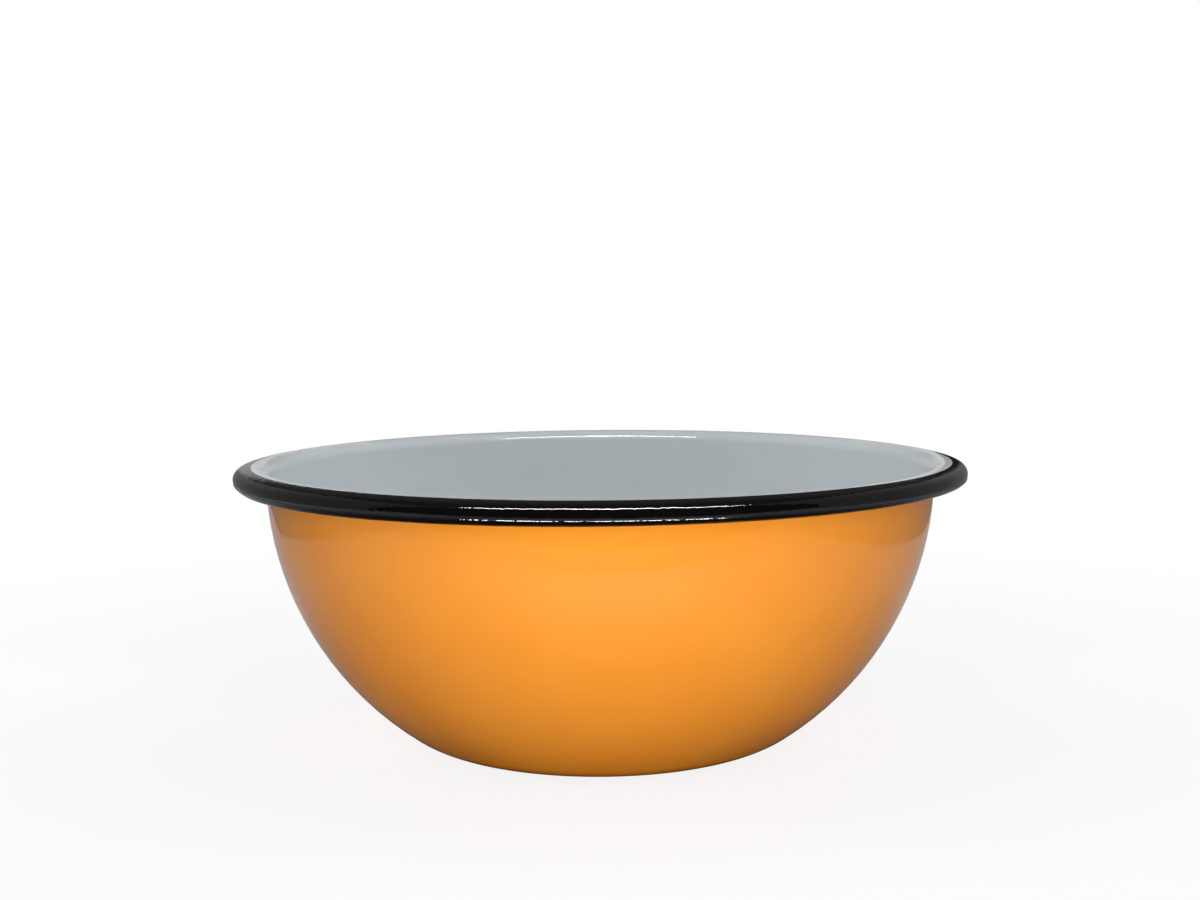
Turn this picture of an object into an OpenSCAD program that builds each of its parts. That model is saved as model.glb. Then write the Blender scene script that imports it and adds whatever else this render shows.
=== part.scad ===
// Enamelled steel bowl: a deep-drawn sheet shell with a rolled rim, under fired coats of enamel.
// The origin is the middle of the surface that the bowl stands on, with +Z up.

/* [Overall] */
// Diameter over the rolled rim
rim_d = 240; // [180:1:340]
// Height from the standing surface to the crest of the rim
height = 93.2; // [75:0.2:130]

/* [Base] */
// Diameter of the flat base, where it starts to turn up into the side
base_d = 98; // [70:1:130]
// Outer radius of the turn from the base into the side
base_corner_r = 29; // [8:0.5:40]
// Width of the flat ring that the bowl stands on
foot_ring_w = 7; // [3:0.5:14]
// Rise of the base's middle panel above the standing surface
panel_rise = 1; // [0.4:0.1:3]
// Radius of the two bends between the ring and the panel
panel_bend_r = 6; // [3:0.5:12]

/* [Side] */
// Lean of the side from upright where it reaches the rim, in degrees
side_lean = 0.5; // [0:0.1:10]

/* [Rim] */
// Radius of the shoulder, from the inside of the wall up to the crest
shoulder_r = 4.2; // [2:0.1:9]
// Distance outwards from the crest to the border between the white coat and the black band
white_reach = 1.7; // [0.4:0.1:4]
// Distance outwards from the crest to the middle of the rolled bead
crown_reach = 4.6; // [3:0.1:9]
// Drop from the crest to the top of the rolled bead
crown_drop = 0.6; // [0.1:0.1:2]
// Outer radius of the rolled bead
bead_r = 2.9; // [2.2:0.1:4.5]
// Angle round the bead where the sheet's edge ends, from the top, in degrees
curl_end = 280; // [200:5:300]

/* [Sheet and enamel] */
// Thickness of the steel sheet
sheet_t = 0.6; // [0.4:0.05:1]
// Thickness of each ground coat
ground_t = 0.15; // [0.1:0.01:0.25]
// Thickness of each cover coat
cover_t = 0.15; // [0.08:0.01:0.3]

/* [Hidden] */
$fn = 180;

// Largest distance between a round stretch and its facets
arc_tolerance = 0.02;

// Depths into the wall from its outer face: the faces where one layer meets the next
outer_ground_depth = cover_t;
sheet_outer_depth = outer_ground_depth + ground_t;
sheet_inner_depth = sheet_outer_depth + sheet_t;
inner_cover_depth = sheet_inner_depth + ground_t;
wall_t = inner_cover_depth + cover_t;

// Base: a flat ring, two bends and a raised middle panel
base_r = base_d / 2;
foot_inner_r = base_r - foot_ring_w;
panel_bend_a = acos(1 - panel_rise / (2 * panel_bend_r));
ring_bend_centre = [foot_inner_r, panel_bend_r];
panel_bend_centre = ring_bend_centre - 2 * panel_bend_r * aim(panel_bend_a);

// Rim: shoulder and crown meet at the crest, and the crown runs on into the bead
rim_r = rim_d / 2;
bead_centre = [rim_r - bead_r, height - crown_drop - bead_r];
crest_r = bead_centre.x - crown_reach;
crown_a = 2 * atan(crown_drop / crown_reach);
crown_r = bead_r + crown_reach / sin(crown_a);
border_a = asin(white_reach / crown_r);
shoulder_centre = [crest_r, height - shoulder_r];
crown_centre = [crest_r, height - crown_r];

// Side: one arc that leaves the base corner and meets the shoulder, smoothly at both ends
side_top_a = 90 + side_lean;
corner_centre = [base_r, base_corner_r];
side_out = aim(side_top_a);
side_top = shoulder_centre - (shoulder_r - wall_t) * side_out;
side_span = side_top - corner_centre;
side_r = (side_span * side_span - base_corner_r ^ 2) / (2 * (side_span * side_out - base_corner_r));
side_centre = side_top - side_r * side_out;
corner_out = corner_centre - side_centre;
corner_end_a = atan2(corner_out.x, corner_out.y);

// Direction in the profile's plane, as an angle from straight up towards the outside
function aim(a) = [sin(a), cos(a)];

// Points of an arc of radius r, moved outwards from its centre by shift
function arc(centre, r, shift, from, to) =
    let (steps = ceil(abs(to - from) / (2 * acos(1 - arc_tolerance / r))))
    [for (i = [0 : steps]) centre + (r + shift) * aim(from + (to - from) * i / steps)];

// Two stretches in a row, with the point where they meet taken once
function join(first, second) = concat(first, [for (i = [1 : len(second) - 1]) second[i]]);

function reversed(points) = [for (i = [len(points) - 1 : -1 : 0]) points[i]];

// Stretches of the profile at a given depth below the wall's outer face, from the axis outwards
function panel_line(depth) = concat(
    [[0, panel_rise + depth]],
    join(
        arc(panel_bend_centre, panel_bend_r, depth, 0, panel_bend_a),
        arc(ring_bend_centre, panel_bend_r, -depth, 180 + panel_bend_a, 180)
    )
);
function side_line(depth) = join(
    arc(corner_centre, base_corner_r, -depth, 180, corner_end_a),
    arc(side_centre, side_r, -depth, corner_end_a, side_top_a)
);
function shoulder_line(depth) = arc(shoulder_centre, shoulder_r, depth - wall_t, side_top_a - 180, 0);
function crown_line(depth, from, to) = arc(crown_centre, crown_r, depth - wall_t, from, to);
function bead_line(depth) = arc(bead_centre, bead_r, depth - wall_t, crown_a, curl_end);

// The stretches as each layer needs them
function body_line(depth) = concat(panel_line(depth), side_line(depth));
function white_line(depth) = join(
    join(body_line(depth), shoulder_line(depth)),
    crown_line(depth, 0, border_a)
);
function black_line(depth) = join(crown_line(depth, border_a, crown_a), bead_line(depth));
function whole_line(depth) = join(white_line(depth), black_line(depth));

// A layer of the wall between two lines of the profile
module layer(lower, upper) {
    rotate_extrude()
        polygon(concat(lower, reversed(upper)));
}

module steel_shell() {
    color("lightslategray")
        layer(whole_line(sheet_outer_depth), whole_line(sheet_inner_depth));
}

module outer_ground_coat() {
    color("midnightblue")
        layer(whole_line(outer_ground_depth), whole_line(sheet_outer_depth));
}

module inner_ground_coat() {
    color("midnightblue")
        layer(whole_line(sheet_inner_depth), whole_line(inner_cover_depth));
}

module orange_outer_coat() {
    color("darkorange")
        layer(body_line(0), body_line(outer_ground_depth));
}

module white_inner_coat() {
    color("whitesmoke")
        layer(white_line(inner_cover_depth), white_line(wall_t));
}

module black_rim_band() {
    color("black")
        layer(black_line(inner_cover_depth), black_line(wall_t));
}

steel_shell();
outer_ground_coat();
inner_ground_coat();
orange_outer_coat();
white_inner_coat();
black_rim_band();
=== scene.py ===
import math

import bmesh
import bpy
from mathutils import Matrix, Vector, noise


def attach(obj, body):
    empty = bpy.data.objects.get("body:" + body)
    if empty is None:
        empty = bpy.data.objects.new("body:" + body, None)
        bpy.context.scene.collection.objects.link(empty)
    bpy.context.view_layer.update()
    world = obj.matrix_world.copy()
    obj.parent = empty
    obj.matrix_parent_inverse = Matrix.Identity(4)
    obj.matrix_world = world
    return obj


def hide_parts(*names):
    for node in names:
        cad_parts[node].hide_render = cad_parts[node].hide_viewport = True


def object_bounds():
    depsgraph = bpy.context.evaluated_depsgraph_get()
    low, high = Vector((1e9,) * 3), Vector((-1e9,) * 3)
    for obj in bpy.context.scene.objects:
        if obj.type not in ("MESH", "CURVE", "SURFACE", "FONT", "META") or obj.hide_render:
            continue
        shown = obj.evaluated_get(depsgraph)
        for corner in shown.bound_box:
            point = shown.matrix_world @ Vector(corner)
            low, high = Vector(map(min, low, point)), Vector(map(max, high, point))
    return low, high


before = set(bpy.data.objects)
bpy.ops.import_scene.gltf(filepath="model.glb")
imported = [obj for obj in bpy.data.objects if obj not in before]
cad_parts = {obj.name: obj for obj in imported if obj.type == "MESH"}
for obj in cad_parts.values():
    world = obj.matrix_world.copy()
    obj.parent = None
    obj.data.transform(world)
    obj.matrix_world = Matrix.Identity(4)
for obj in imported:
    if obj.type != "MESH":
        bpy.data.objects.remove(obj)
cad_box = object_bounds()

MM = 0.001
scene = bpy.context.scene

# Sizes of the bowl in millimetres and radians, as its construction has them; the overall ones come from
# the frame
RIM_R = min(cad_box[1].x, cad_box[1].y) / MM
HEIGHT = cad_box[1].z / MM
BASE_R = 49.0
CORNER_R = 29.0
FOOT_RING_W = 7.0
PANEL_RISE = 1.0
PANEL_BEND_R = 6.0
SIDE_LEAN = math.radians(0.5)
SHOULDER_R = 4.2
WHITE_REACH = 1.7
CROWN_REACH = 4.6
CROWN_DROP = 0.6
BEAD_R = 2.9
CURL_END = math.radians(280)
SHEET_T = 0.6
GROUND_T = 0.15
COVER_T = 0.15
WALL_T = SHEET_T + 2 * (GROUND_T + COVER_T)
INNER_COVER = WALL_T - COVER_T

# Fired details along the rim: the black band is thinner on the bead and gathers in an uneven lip below it,
# the rolled edge sags more on the left, and the border of the white coat wanders; the white beside the
# border is lightened with painted light, for the light the rim catches there, though not at the back; the
# orange thins out at its upper edge. Waves are counted round the whole rim, and a row sets one kind of noise
# apart from the others
BAND_THINNING = 0.06
BAND_RIPPLE = 0.02
RIPPLE_WAVES = 90
RIPPLE_ROWS = 2.5
LIP_START = math.radians(114.2)
LIP_CREST = math.radians(115.75)
LIP_END = math.radians(160)
LIP_HEIGHT = 0.19
LIP_UNEVEN = 0.015
LIP_FINE_WAVES = 300
LIP_FINE_ROW = 8.1
LIP_BROAD_WAVES = 60
LIP_BROAD_ROW = 5.3
LIP_BROAD_SHARE = 0.7
SAG = 0.22
SAG_LEFT = 0.33
SAG_LEAST = -0.08
SAG_START = math.radians(130)
SAG_MIDDLE = math.radians(180)
SAG_END = math.radians(250)
BORDER_WANDER = 0.15
WANDER_BROAD_WAVES = 20
WANDER_FINE_WAVES = 70
WANDER_FINE_ROW = 3.7
WANDER_FINE_SHARE = 0.6
BORDER_RIGHT = 0.4
BORDER_SIDES = 0.7
BORDER_BACK = 1.3
# Painted light beside the white's border: its reach either side of the crest in millimetres, and the places
# towards the back where it fades out
RIM_LIGHT_SPAN = (-2.8, 0.4)
RIM_LIGHT_END = (45, 90)
ORANGE_FEATHER = math.radians(0.4)

# Fineness of the visible coats
ARC_STEP = math.radians(3)
FINE_STEP = math.radians(0.4)
BORDER_STEP_SHARE = 0.25
BAND_STEP_SHARE = 0.025
BODY_TURNS = 360
BAND_TURNS = 1200
SHARP_A = math.radians(40)
WELD = 0.001


def aim(a):
    """Direction in the profile's plane, as an angle from straight up towards the outside."""
    return Vector((math.sin(a), math.cos(a)))


# Centres and radii of the profile's arcs
ring_bend = Vector((BASE_R - FOOT_RING_W, PANEL_BEND_R))
panel_bend_a = math.acos(1 - PANEL_RISE / (2 * PANEL_BEND_R))
panel_bend = ring_bend - 2 * PANEL_BEND_R * aim(panel_bend_a)
bead = Vector((RIM_R - BEAD_R, HEIGHT - CROWN_DROP - BEAD_R))
crest_r = bead.x - CROWN_REACH
crown_a = 2 * math.atan(CROWN_DROP / CROWN_REACH)
crown_r = BEAD_R + CROWN_REACH / math.sin(crown_a)
shoulder = Vector((crest_r, HEIGHT - SHOULDER_R))
crown = Vector((crest_r, HEIGHT - crown_r))
side_top_a = math.pi / 2 + SIDE_LEAN
shoulder_a = side_top_a - math.pi
corner = Vector((BASE_R, CORNER_R))
side_top = shoulder - (SHOULDER_R - WALL_T) * aim(side_top_a)
side_span = side_top - corner
side_r = (side_span.length_squared - CORNER_R ** 2) / (2 * (side_span.dot(aim(side_top_a)) - CORNER_R))
side = side_top - side_r * aim(side_top_a)
corner_end_a = math.atan2(*(corner - side))


# Profile
def spread(start, end, step):
    """Even values from start to end, no further apart than step."""
    count = max(1, math.ceil(abs(end - start) / step))
    return [start + (end - start) * i / count for i in range(count + 1)]


def smooth(value, low, high):
    """0 below low and 1 above high, with a soft passage between them."""
    t = min(1.0, max(0.0, (value - low) / (high - low)))
    return t * t * (3 - 2 * t)


def arc(centre, radius, start, end):
    """Points of an arc between two angles."""
    return [centre + radius * aim(a) for a in spread(start, end, ARC_STEP)]


def body_line(depth, top_a=side_top_a):
    """The profile from the axis to the top of the side, at a depth below the wall's outer face."""
    line = [Vector((r, PANEL_RISE + depth)) for r in spread(0, panel_bend.x, CORNER_R)]
    line += arc(panel_bend, PANEL_BEND_R + depth, 0, panel_bend_a)[1:]
    line += arc(ring_bend, PANEL_BEND_R - depth, math.pi + panel_bend_a, math.pi)[1:]
    line += arc(corner, CORNER_R - depth, math.pi, corner_end_a)
    line += arc(side, side_r - depth, corner_end_a, top_a)[1:]
    return line


def rim_point(a, depth):
    """The point of the rim where its upper face looks along angle a."""
    if a < 0:
        return shoulder + (SHOULDER_R - WALL_T + depth) * aim(a)
    if a < crown_a:
        return crown + (crown_r - WALL_T + depth) * aim(a)
    return bead + (BEAD_R - WALL_T + depth) * aim(a)


def round_noise(turn, waves, row=0.0):
    """Noise along the rim that closes on itself, with about that many waves in a turn."""
    radius = waves / (2 * math.pi)
    return noise.noise(Vector((radius * math.cos(turn), radius * math.sin(turn), row)))


def border_a(turn):
    """Angle on the crown where the white coat ends and the black band starts."""
    broad = round_noise(turn, WANDER_BROAD_WAVES)
    fine = WANDER_FINE_SHARE * round_noise(turn, WANDER_FINE_WAVES, WANDER_FINE_ROW)
    off_centre = BORDER_RIGHT * math.sin(turn) - BORDER_BACK * math.cos(turn)
    wide = BORDER_SIDES * math.sin(turn) ** 2
    return math.asin((WHITE_REACH + off_centre + wide + BORDER_WANDER * (broad + fine)) / crown_r)


def band_swell(a, turn):
    """How far the black band's face stands from its even place."""
    thin = smooth(a, crown_a, 2 * crown_a) * (1 - smooth(a, LIP_END, CURL_END))
    ripple = BAND_RIPPLE * round_noise(turn, RIPPLE_WAVES, RIPPLE_ROWS * a)
    uneven = round_noise(turn, LIP_FINE_WAVES, LIP_FINE_ROW)
    uneven += LIP_BROAD_SHARE * round_noise(turn, LIP_BROAD_WAVES, LIP_BROAD_ROW)
    rise = min(1, max(0, (a - LIP_START) / (LIP_CREST - LIP_START)))
    lip = (LIP_HEIGHT + LIP_UNEVEN * uneven) * rise * (1 - smooth(a, LIP_CREST, LIP_END))
    sag = max(SAG_LEAST, SAG - SAG_LEFT * math.sin(turn))
    sag *= smooth(a, SAG_START, SAG_MIDDLE) * (1 - smooth(a, SAG_MIDDLE, SAG_END))
    return thin * (ripple - BAND_THINNING) + lip + sag


# Sections of the visible coats, each a closed loop at a turn round the axis
def orange_loop(turn):
    return body_line(0, side_top_a - ORANGE_FEATHER) + body_line(COVER_T)[::-1]


def white_loop(turn):
    border = border_a(turn)
    angles = spread(shoulder_a, 0, ARC_STEP)[1:]
    angles += [border * t for t in spread(0, 1, BORDER_STEP_SHARE)[1:]]
    upper = [rim_point(a, WALL_T) for a in angles]
    lower = [rim_point(a, INNER_COVER) for a in angles]
    return body_line(WALL_T) + upper + lower[::-1] + body_line(INNER_COVER)[::-1]


def black_loop(turn):
    border = border_a(turn)
    steps = spread(0, 1, BAND_STEP_SHARE)
    angles = [border + (LIP_START - border) * t for t in steps[:-1]]
    angles += spread(LIP_START, LIP_CREST, FINE_STEP)[:-1] + spread(LIP_CREST, LIP_END, ARC_STEP)[:-1]
    angles += spread(LIP_END, CURL_END, 2 * ARC_STEP)
    upper = [rim_point(a, WALL_T + band_swell(a, turn)) for a in angles]
    lower = [rim_point(border + (CURL_END - border) * t, INNER_COVER) for t in steps]
    return upper + lower[::-1]


def lathe(name, loop_at, turns, node, material):
    """A closed solid of revolution whose section may change round the axis; it stands for a node."""
    mesh = bmesh.new()
    up = Vector((0, 0, MM))
    rings = []
    for i in range(turns):
        turn = 2 * math.pi * i / turns
        out = Vector((math.sin(turn), -math.cos(turn), 0)) * MM
        rings.append([mesh.verts.new(p.x * out + p.y * up) for p in loop_at(turn)])
    for here, there in zip(rings, rings[1:] + rings[:1]):
        for j in range(len(here)):
            mesh.faces.new((here[j - 1], there[j - 1], there[j], here[j]))
    bmesh.ops.remove_doubles(mesh, verts=mesh.verts, dist=WELD * MM)
    bmesh.ops.recalc_face_normals(mesh, faces=mesh.faces)
    for face in mesh.faces:
        face.smooth = True
    data = bpy.data.meshes.new(name)
    mesh.to_mesh(data)
    mesh.free()
    data.set_sharp_from_angle(angle=SHARP_A)
    data.materials.append(material)
    piece = bpy.data.objects.new(name, data)
    scene.collection.objects.link(piece)
    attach(piece, "root")
    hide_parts(node)


# Fired coats and bare steel: colours, scales of unevenness in waves to a metre, and distances in metres
ORANGE_THIN = (0.95, 0.335, 0.032)
ORANGE_THICK = (0.93, 0.315, 0.027)
ORANGE_SPECK = (0.55, 0.15, 0.02)
WHITE_THIN = (0.63, 0.675, 0.695)
WHITE_THICK = (0.61, 0.65, 0.675)
WHITE_SPECK = (0.3, 0.31, 0.33)
# Colour of the painted light on the white beside the rim's border
WHITE_RIM_LIT = (0.86, 0.89, 0.9)
BLACK_THIN = (0.002, 0.002, 0.0022)
BLACK_THICK = (0.003, 0.003, 0.0034)
BLACK_SPECK = (0.02, 0.02, 0.02)
GROUND_THIN = (0.012, 0.014, 0.022)
GROUND_THICK = (0.02, 0.022, 0.03)
GROUND_SPECK = (0.06, 0.05, 0.05)
STEEL_CLEAN = (0.32, 0.31, 0.3)
STEEL_RUST = (0.1, 0.085, 0.075)
STEEL_ROUGH = (0.35, 0.7)
RUST_SCALE = 180.0
RUST_DETAIL = 5.0
RUST_EDGE = (0.4, 0.65)
DRIFT_SCALE = 25.0
DRIFT_DETAIL = 4.0
SPECK_SCALE = 45.0
SPECK_R = 0.0004
SPECK_SHARE = 0.3
ROUGH_SCALE = 120.0
ROUGH_SHARES = (0.75, 1.25)
WAVE_SCALE = 60.0
WAVE_H = 0.001
PEEL_H = 0.0003
BUMP_DETAIL = 1.0
GLASS_IOR = 1.54
NOISE_MIDDLE = (0.3, 0.7)

# Where the band turns dull: upward parts of its faces' directions, and the shine below and above them
DULL_FACING = (-0.65, -0.4)
DULL_SHINE = (0.03, 0.5)

# Material nodes, and the places of the colour sockets on a mixing node
FIRST_COLOUR = 6
SECOND_COLOUR = 7
MIXED_COLOUR = 2


def put(tree, value, socket):
    """Sets a socket to a value, or links it from another socket."""
    if isinstance(value, bpy.types.NodeSocket):
        tree.links.new(value, socket)
    else:
        socket.default_value = value


def add(tree, kind, **inputs):
    """A node with some of its inputs filled in."""
    node = tree.nodes.new(kind)
    for name, value in inputs.items():
        put(tree, value, node.inputs[name.replace("_", " ")])
    return node


def noise_at(tree, place, scale, detail=2.0):
    """Noise between 0 and 1."""
    return add(tree, "ShaderNodeTexNoise", Vector=place, Scale=scale, Detail=detail).outputs["Fac"]


def ramp(tree, value, low, high, out_low=0.0, out_high=1.0, kind="SMOOTHSTEP"):
    """A value that passes from one output to another between low and high."""
    node = add(tree, "ShaderNodeMapRange", Value=value)
    node.interpolation_type = kind
    for name, number in zip(("From Min", "From Max", "To Min", "To Max"), (low, high, out_low, out_high)):
        node.inputs[name].default_value = number
    return node.outputs["Result"]


def calculate(tree, operation, first, second):
    """The result of an operation on two values."""
    node = tree.nodes.new("ShaderNodeMath")
    node.operation = operation
    put(tree, first, node.inputs[0])
    put(tree, second, node.inputs[1])
    return node.outputs[0]


def blend(tree, amount, first, second):
    """A mixture of two colours."""
    node = tree.nodes.new("ShaderNodeMix")
    node.data_type = "RGBA"
    put(tree, amount, node.inputs["Factor"])
    put(tree, first, node.inputs[FIRST_COLOUR])
    put(tree, second, node.inputs[SECOND_COLOUR])
    return node.outputs[MIXED_COLOUR]


def length_of(tree, vector):
    """The length of a vector."""
    node = tree.nodes.new("ShaderNodeVectorMath")
    node.operation = "LENGTH"
    tree.links.new(vector, node.inputs[0])
    return node.outputs["Value"]


def reach(tree, place, centre, size=(1, 1, 1)):
    """Distance from a centre, in units that a size gives for each direction."""
    oval = add(tree, "ShaderNodeMapping", Vector=place, Location=centre, Scale=size)
    oval.vector_type = "TEXTURE"
    return length_of(tree, oval.outputs[0])


def specks(tree, place, scale, radius, share):
    """1 in small round specks, in a share of the cells of an uneven grid."""
    cells = add(tree, "ShaderNodeTexVoronoi", Vector=place, Scale=scale)
    dots = ramp(tree, cells.outputs["Distance"], radius * scale, 0.5 * radius * scale)
    picked = calculate(tree, "LESS_THAN", cells.outputs["Color"], share)
    return calculate(tree, "MULTIPLY", dots, picked)


def principled(name):
    """A new material, with its node tree and its shader."""
    material = bpy.data.materials.new(name)
    material.use_nodes = True
    tree = material.node_tree
    return material, tree, tree.nodes["Principled BSDF"]


def enamel(name, thin, thick, speck, roughness, peel, grain, wave):
    """Fired glass enamel: its colour drifts with the thickness, and its gloss has a faint orange peel."""
    material, tree, shader = principled(name)
    place = add(tree, "ShaderNodeTexCoord").outputs["Object"]
    drift = ramp(tree, noise_at(tree, place, DRIFT_SCALE, DRIFT_DETAIL), *NOISE_MIDDLE)
    colour = blend(tree, drift, (*thin, 1), (*thick, 1))
    colour = blend(tree, specks(tree, place, SPECK_SCALE, SPECK_R, SPECK_SHARE), colour, (*speck, 1))
    patches = noise_at(tree, place, ROUGH_SCALE)
    rough = ramp(tree, patches, *NOISE_MIDDLE, *(share * roughness for share in ROUGH_SHARES))
    waves = noise_at(tree, place, WAVE_SCALE, BUMP_DETAIL)
    broad = add(tree, "ShaderNodeBump", Strength=wave, Distance=WAVE_H, Height=waves)
    grains = noise_at(tree, place, grain, BUMP_DETAIL)
    fine = add(tree, "ShaderNodeBump", Strength=peel, Distance=PEEL_H, Height=grains)
    tree.links.new(broad.outputs["Normal"], fine.inputs["Normal"])
    tree.links.new(colour, shader.inputs["Base Color"])
    tree.links.new(rough, shader.inputs["Roughness"])
    tree.links.new(fine.outputs["Normal"], shader.inputs["Normal"])
    shader.inputs["IOR"].default_value = GLASS_IOR
    return material


def paint_rim_light(material, colour):
    """Paints light onto the coat towards the border, as a painted highlight for the light the rim catches
    there; not at the back.
    """
    tree = material.node_tree
    shader = tree.nodes["Principled BSDF"]
    place = add(tree, "ShaderNodeTexCoord").outputs["Object"]
    level = add(tree, "ShaderNodeSeparateXYZ", Vector=place).outputs
    flat = add(tree, "ShaderNodeCombineXYZ", X=level["X"], Y=level["Y"]).outputs[0]
    by_border = ramp(tree, length_of(tree, flat), *((crest_r + out) * MM for out in RIM_LIGHT_SPAN))
    to_front = ramp(tree, level["Y"], *(y * MM for y in RIM_LIGHT_END), 1, 0)
    amount = calculate(tree, "MULTIPLY", by_border, to_front)
    base = shader.inputs["Base Color"].links[0].from_socket
    tree.links.new(blend(tree, amount, base, (*colour, 1)), shader.inputs["Base Color"])


def dull_underside(material):
    """Takes the gloss off the faces that look down, where the rim rests on its supports in the kiln."""
    tree = material.node_tree
    normal = tree.nodes.new("ShaderNodeNewGeometry").outputs["Normal"]
    facing = add(tree, "ShaderNodeSeparateXYZ", Vector=normal).outputs["Z"]
    shine = ramp(tree, facing, *DULL_FACING, *DULL_SHINE)
    tree.links.new(shine, tree.nodes["Principled BSDF"].inputs["Specular IOR Level"])


def bare_steel(name):
    """Oxidised sheet steel, as it shows at the sheet's edge inside the curl."""
    material, tree, shader = principled(name)
    place = add(tree, "ShaderNodeTexCoord").outputs["Object"]
    rust = ramp(tree, noise_at(tree, place, RUST_SCALE, RUST_DETAIL), *RUST_EDGE)
    colour = blend(tree, rust, (*STEEL_CLEAN, 1), (*STEEL_RUST, 1))
    tree.links.new(colour, shader.inputs["Base Color"])
    tree.links.new(ramp(tree, rust, 0, 1, *STEEL_ROUGH), shader.inputs["Roughness"])
    shader.inputs["Metallic"].default_value = 1.0
    return material


orange_enamel = enamel(
    "orange_enamel", ORANGE_THIN, ORANGE_THICK, ORANGE_SPECK,
    roughness=0.07, peel=0.02, grain=350, wave=0.015,
)
white_enamel = enamel(
    "white_enamel", WHITE_THIN, WHITE_THICK, WHITE_SPECK,
    roughness=0.08, peel=0.12, grain=350, wave=0.04,
)
# Painted light: the white beside the border is lightened where the rim catches the light
paint_rim_light(white_enamel, WHITE_RIM_LIT)
black_enamel = enamel(
    "black_enamel", BLACK_THIN, BLACK_THICK, BLACK_SPECK,
    roughness=0.05, peel=0.3, grain=600, wave=0.03,
)
dull_underside(black_enamel)
ground_enamel = enamel(
    "ground_enamel", GROUND_THIN, GROUND_THICK, GROUND_SPECK,
    roughness=0.3, peel=0.3, grain=350, wave=0.05,
)
sheet_steel = bare_steel("sheet_steel")

# Visible coats, and the nodes that stay
lathe("orange_coat", orange_loop, BODY_TURNS, "orange_outer_coat", orange_enamel)
lathe("white_coat", white_loop, BODY_TURNS, "white_inner_coat", white_enamel)
lathe("black_band", black_loop, BAND_TURNS, "black_rim_band", black_enamel)
for node, material in (
    ("steel_shell", sheet_steel),
    ("outer_ground_coat", ground_enamel),
    ("inner_ground_coat", ground_enamel),
):
    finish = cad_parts[node].data.materials
    finish.clear()
    finish.append(material)

# Camera, from the outline of the rim and the base in the photograph; places in metres, sensor in millimetres
PHOTO_W = 1200
FOCAL_PX = 1719
SENSOR_W = 36
CAMERA_AT = (0, -0.570, 0.1503)
PITCH = math.radians(5.445)
ROLL = math.radians(-0.47)

camera = bpy.data.cameras.new("camera")
camera.sensor_width = SENSOR_W
camera.lens = FOCAL_PX / PHOTO_W * SENSOR_W
viewer = bpy.data.objects.new("camera", camera)
scene.collection.objects.link(viewer)
viewer.location = CAMERA_AT
viewer.rotation_mode = "ZYX"
viewer.rotation_euler = (math.pi / 2 - PITCH, 0, ROLL)
scene.camera = viewer
scene.view_settings.view_transform = "Standard"

# Stage: a pale floor, and a light tent round the bowl that only reflections show; places in metres
FLOOR_REACH = 30
FLOOR_SHADE = 0.2
FLOOR_PALE = 0.9
FLOOR_WHITE_NEAR = 0.86
FLOOR_FADE = (0.12, 0.5)
AMBIENT = 0.4
LEFT_SIDE = ((-0.375, -0.205), (-0.312, 0.23), (-0.36, 0.42), (-0.34, 0.8))
RIGHT_SIDE = ((0.318, -0.205), (0.283, 0.34), (0.308, 0.52), (0.305, 0.8))
TENT_BOW = 0.035
BOW_STEP_SHARE = 0.05
TENT_TOP = 0.6
TENT_BACK_TOP = 0.25
GROUND_LIFT = 0.0002
GROUND_SHADE = 0.43
# Painted shadow of the bowl on the tent's ground, and a painted pool of light in front of it
SHADOW_AT = (0, -0.025, 0)
SHADOW_FADE = (0.04, 0.22)
LIGHT_POOL_AT = (0.02, -0.2, 0)
LIGHT_POOL_SIZE = (0.15, 0.085, 1)
LIGHT_POOL_SHADE = 0.5
KERB_H = 0.03
KERB_SHADE = 0.3
SEAM_W = 0.006
CORNER_W = 0.022
CORNER_D = 0.12
SEAM_SHADE = 0.02
SIDE_SHADE = 0.2
BACK_SHADE = 0.42
FRONT_SHADE = 0.01
TOP_SHADE = 0.05
STRIP_AT = (0.008, -0.215, 0.58)
STRIP_SIZE = (0.575, 0.05)
STRIP_SHADE = 50
SQUARE_CORNERS = ((-1, -1), (1, -1), (1, 1), (-1, 1))


def shown_ray(tree):
    """1 for the rays that show the background: camera, glossy and transmission rays."""
    path = tree.nodes.new("ShaderNodeLightPath").outputs
    shown = calculate(tree, "MAXIMUM", path["Is Camera Ray"], path["Is Glossy Ray"])
    return calculate(tree, "MAXIMUM", shown, path["Is Transmission Ray"])


def bare_tree(name):
    """A new material, with its empty node tree and the socket for its surface."""
    material = bpy.data.materials.new(name)
    material.use_nodes = True
    material.node_tree.nodes.clear()
    output = material.node_tree.nodes.new("ShaderNodeOutputMaterial")
    return material, material.node_tree, output.inputs["Surface"]


def floor_material():
    """Matt; the rays that show the background see it pale, and plain white away from the bowl."""
    material, tree, surface = bare_tree("floor")
    place = add(tree, "ShaderNodeTexCoord").outputs["Object"]
    white = ramp(tree, length_of(tree, place), *FLOOR_FADE, FLOOR_WHITE_NEAR, 1)
    shown = shown_ray(tree)
    mixed = add(tree, "ShaderNodeMixShader", Fac=calculate(tree, "MULTIPLY", white, shown))
    matt = add(tree, "ShaderNodeBsdfDiffuse", Color=ramp(tree, shown, 0, 1, FLOOR_SHADE, FLOOR_PALE))
    tree.links.new(matt.outputs[0], mixed.inputs[1])
    tree.links.new(add(tree, "ShaderNodeEmission", Strength=1).outputs[0], mixed.inputs[2])
    tree.links.new(mixed.outputs[0], surface)
    return material


def glow(name, shade):
    """A part of the tent that shines evenly."""
    material, tree, surface = bare_tree(name)
    tree.links.new(add(tree, "ShaderNodeEmission", Strength=shade).outputs[0], surface)
    return material


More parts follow.
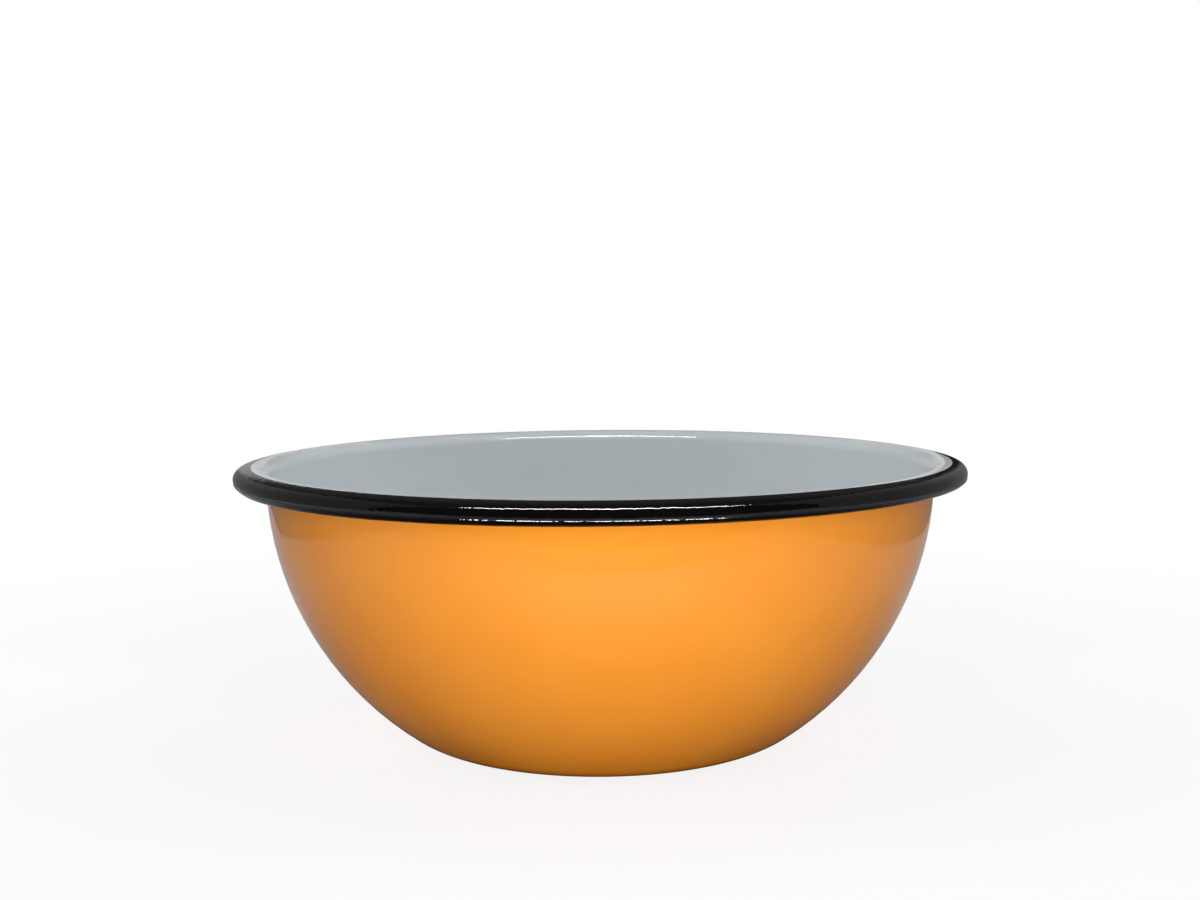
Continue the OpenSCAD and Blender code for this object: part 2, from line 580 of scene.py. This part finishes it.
def ground_material():
    """The tent's ground: a painted shadow of the bowl round it, and a painted pool of light in front of it.
    """
    material, tree, surface = bare_tree("tent_ground")
    place = add(tree, "ShaderNodeTexCoord").outputs["Object"]
    # Painted shadow round the bowl, plus a painted pool of light in front
    open_shade = ramp(tree, reach(tree, place, SHADOW_AT), *SHADOW_FADE, 0, GROUND_SHADE, "LINEAR")
    light_pool_shade = ramp(tree, reach(tree, place, LIGHT_POOL_AT, LIGHT_POOL_SIZE), 0, 1, LIGHT_POOL_SHADE, 0)
    shade = calculate(tree, "ADD", open_shade, light_pool_shade)
    tree.links.new(add(tree, "ShaderNodeEmission", Strength=shade).outputs[0], surface)
    return material


def stage_mesh(name, points, faces, material):
    """A piece of the set, which isn't part of the bowl."""
    data = bpy.data.meshes.new(name)
    data.from_pydata(points, [], faces)
    data.materials.append(material)
    item = bpy.data.objects.new(name, data)
    scene.collection.objects.link(item)
    return item


def tent_part(name, points, faces, material):
    """A part of the tent: reflections show it, and nothing else does."""
    item = stage_mesh(name, points, faces, material)
    item.visible_camera = False
    item.visible_diffuse = False
    item.visible_shadow = False
    item.visible_transmission = False


def tent_wall(name, plan, low, high, material):
    """An upright part of the tent above a line of places on the ground."""
    points = [(x, y, z) for x, y in plan for z in (low, high)]
    faces = [(i, i + 2, i + 3, i + 1) for i in range(0, 2 * len(plan) - 2, 2)]
    tent_part(name, points, faces, material)


def front_line(left, right):
    """The tent's front edge between its ends, bowed forwards."""
    places = []
    for t in spread(0, 1, BOW_STEP_SHARE):
        x, y = Vector(left).lerp(Vector(right), t)
        places.append((x, y - TENT_BOW * 4 * t * (1 - t)))
    return places


floor_corners = [(x * FLOOR_REACH, y * FLOOR_REACH, 0) for x, y in SQUARE_CORNERS]
stage_mesh("floor", floor_corners, [(0, 1, 2, 3)], floor_material())
front = front_line(LEFT_SIDE[0], RIGHT_SIDE[0])
back = [LEFT_SIDE[-1], RIGHT_SIDE[-1]]
ground = [(x, y, GROUND_LIFT) for x, y in [*front, *RIGHT_SIDE[1:], *LEFT_SIDE[:0:-1]]]
tent_part("tent_ground", ground, [range(len(ground))], ground_material())
tent_wall("tent_kerb", front, 0, KERB_H, glow("tent_kerb", KERB_SHADE))
tent_wall("tent_front", front, KERB_H, TENT_TOP, glow("tent_front", FRONT_SHADE))
tent_wall("tent_back", back, 0, TENT_BACK_TOP, glow("tent_back", BACK_SHADE))
side_cloth = glow("tent_side", SIDE_SHADE)
seam = glow("tent_seam", SEAM_SHADE)
for name, line, inset in (("left", LEFT_SIDE, SEAM_W), ("right", RIGHT_SIDE, -SEAM_W)):
    tent_wall(f"{name}_side", line, 0, TENT_TOP, side_cloth)
    tent_wall(f"{name}_seam", [(x + inset, y) for x, y in line[1:]], 0, SEAM_W, seam)
corner_x, corner_y = RIGHT_SIDE[-1]
corner_x -= SEAM_W
corner_y -= SEAM_W
corner_line = [(corner_x - CORNER_W, corner_y), (corner_x, corner_y), (corner_x, corner_y - CORNER_D)]
tent_wall("right_corner", corner_line, 0, TENT_TOP, seam)
ceiling = [(x, y, TENT_TOP) for x, y in (front[0], front[-1])]
ceiling += [(x, y, TENT_BACK_TOP) for x, y in reversed(back)]
tent_part("tent_top", ceiling, [(0, 1, 2, 3)], glow("tent_top", TOP_SHADE))
strip = [
    (STRIP_AT[0] + x * STRIP_SIZE[0] / 2, STRIP_AT[1] + y * STRIP_SIZE[1] / 2, STRIP_AT[2])
    for x, y in SQUARE_CORNERS
]
tent_part("tent_strip", strip, [(0, 1, 2, 3)], glow("tent_strip", STRIP_SHADE))

world = bpy.data.worlds.new("studio")
world.use_nodes = True
scene.world = world
sky = world.node_tree
background = sky.nodes["Background"]
background.inputs["Color"].default_value = (1, 1, 1, 1)
sky.links.new(ramp(sky, shown_ray(sky), 0, 1, AMBIENT, 1), background.inputs["Strength"])


# Lamps: places and sizes in metres, power in watts, and the angle of the beam in degrees
def lamp(name, place, target, size, power, beam=180):
    """A soft lamp that lights the bowl without being reflected in it."""
    light = bpy.data.lights.new(name, "AREA")
    light.shape = "RECTANGLE"
    light.size, light.size_y = size
    light.energy = power
    light.spread = math.radians(beam)
    item = bpy.data.objects.new(name, light)
    scene.collection.objects.link(item)
    item.location = place
    item.rotation_mode = "QUATERNION"
    item.rotation_quaternion = (Vector(target) - Vector(place)).to_track_quat("-Z", "Y")
    item.visible_camera = False
    item.visible_glossy = False


def lamp_pair(name, place, target, size, powers, beam=180):
    """Two lamps that mirror each other, the left one first; place and target are those of the right one."""
    for side_name, mirror, power in zip(("left", "right"), (-1, 1), powers):
        from_place = (mirror * place[0], *place[1:])
        to_place = (mirror * target[0], *target[1:])
        lamp(f"{side_name}_{name}", from_place, to_place, size, power, beam)


lamp("low_lamp", place=(0.03, -0.5, 0.05), target=(0, -0.1, 0.05), size=(0.4, 0.06), power=1.5)
lamp("front_lamp", place=(0.03, -0.5, 0.22), target=(0, -0.1, 0.05), size=(0.45, 0.2), power=0.34)
lamp("top_lamp", place=(0, -0.1, 0.6), target=(0, -0.1, 0), size=(0.9, 0.4), power=1.38)
lamp_pair("lamp", place=(0.6, 0.15, 0.1), target=(0, 0, 0.06), size=(0.3, 0.2), powers=(0.3, 0.14))
lamp_pair(
    "low_lamp",
    place=(0.55, 0.3, 0.03),
    target=(0.07, -0.01, 0.005),
    size=(0.04, 0.01),
    powers=(0.014, 0.01),
    beam=12,
)
lamp_pair(
    "inner_lamp",
    place=(0.5, -0.05, 0.75),
    target=(-0.11, 0, 0.08),
    size=(0.1, 0.1),
    powers=(0.017, 0.017),
    beam=20,
)
